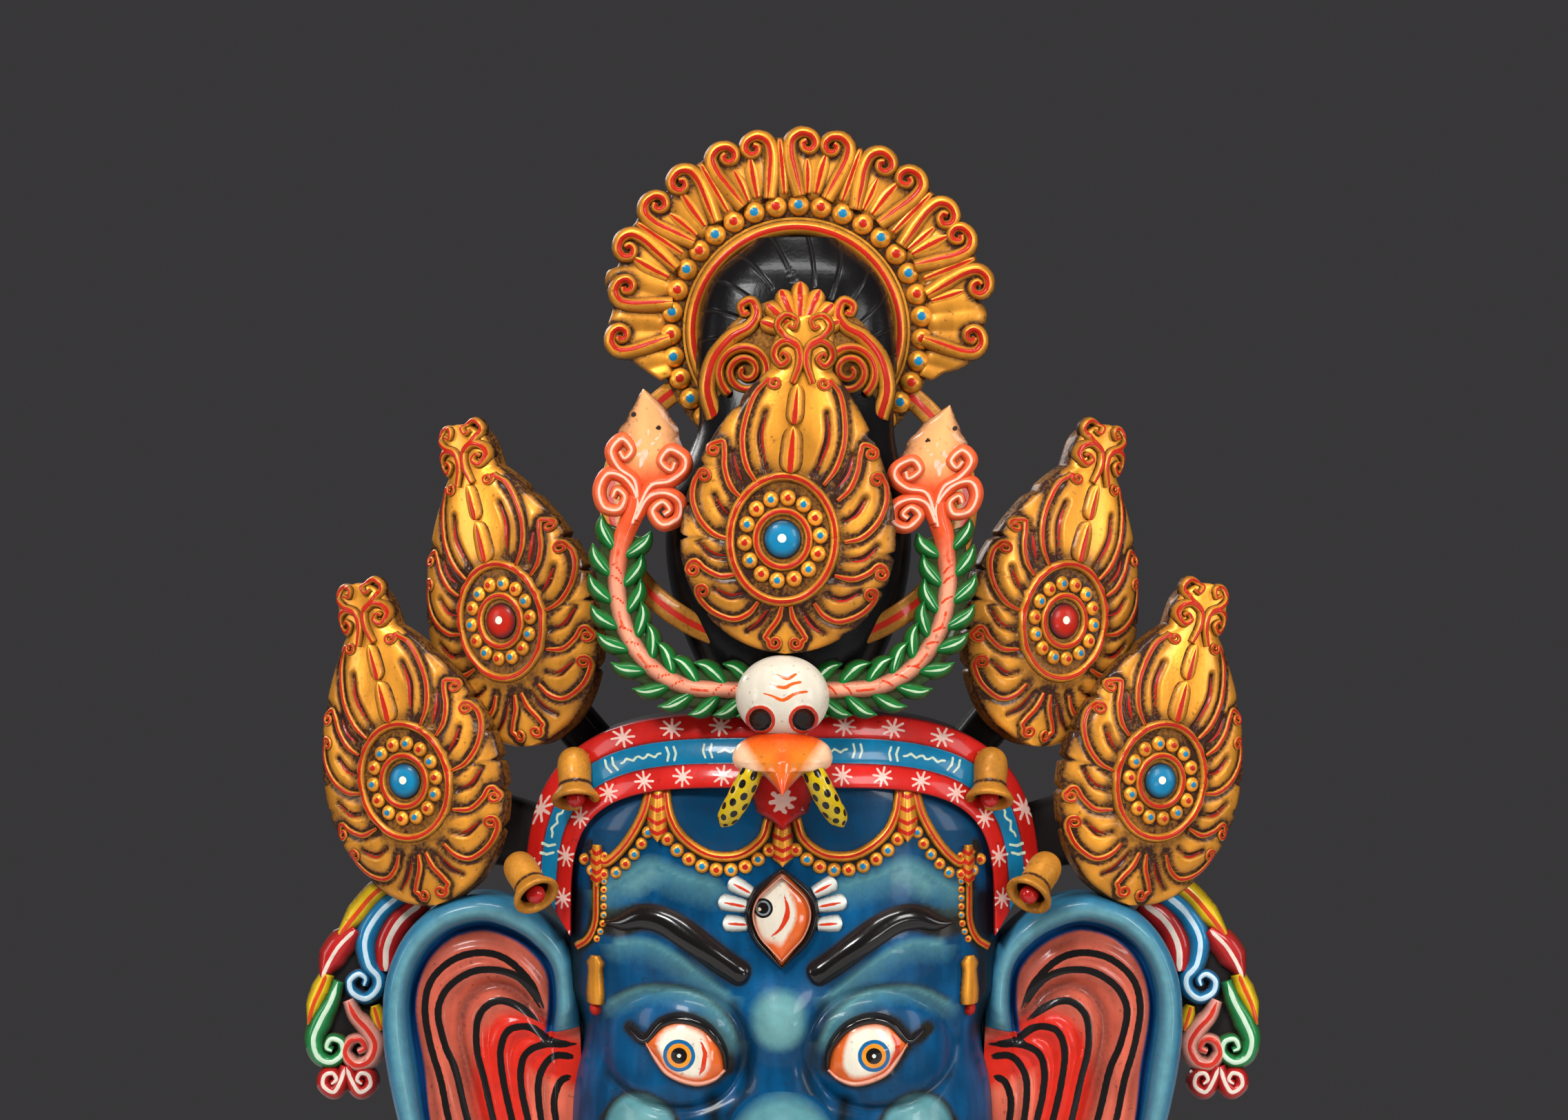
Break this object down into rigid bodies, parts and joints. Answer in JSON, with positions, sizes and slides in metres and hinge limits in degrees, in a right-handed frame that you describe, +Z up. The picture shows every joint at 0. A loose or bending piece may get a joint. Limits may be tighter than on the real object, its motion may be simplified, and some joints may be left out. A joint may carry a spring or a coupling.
{
  "type": "ganesha mask wall hanging",
  "caption": "Large carved and painted wooden elephant-headed mask with leaf-shaped crown plaques, topknot, halo, leafy sprays, bells, ears and plumes, hung flat on a wall.",
  "frame": {"origin": "the hanging place, on the flat back of the head block behind the middle of the tiara band, in the plane of the wall", "axes": "+Z up, +X to the viewer's right, +Y into the wall; the face looks along -Y"},
  "size_m": [0.6662, 0.1995, 0.8461],
  "materials": {
    "blue_painted_wood": "satin blue paint on carved wood, with brown wash in the grooves",
    "gold_painted_wood": "satin gold paint on carved wood, with red lines and brown wash",
    "black_painted_wood": "glossy black lacquer on carved wood",
    "green_painted_wood": "green, pink and red paint on carved wood",
    "white_painted_wood": "bone white, orange and yellow paint on carved wood",
    "pale_blue_painted_wood": "pale blue and salmon paint on carved wood",
    "red_painted_wood": "ribbons in red, blue, green, yellow and pink paint on carved wood"
  },
  "bodies": {
    "root": {"head": "blue_painted_wood", "halo": "gold_painted_wood", "topknot": "black_painted_wood", "topknot_cap": "gold_painted_wood", "hoop": "gold_painted_wood", "middle_plaque": "gold_painted_wood", "upper_plaque_left": "gold_painted_wood", "upper_plaque_right": "gold_painted_wood", "lower_plaque_left": "gold_painted_wood", "lower_plaque_right": "gold_painted_wood", "leaf_spray_left": "green_painted_wood", "leaf_spray_right": "green_painted_wood", "bird_skull": "white_painted_wood", "upper_bell_left": "gold_painted_wood", "upper_bell_right": "gold_painted_wood", "lower_bell_left": "gold_painted_wood", "lower_bell_right": "gold_painted_wood", "ear_left": "pale_blue_painted_wood", "ear_right": "pale_blue_painted_wood", "plume_left": "red_painted_wood", "plume_right": "red_painted_wood"}
  },
  "joints": []
}
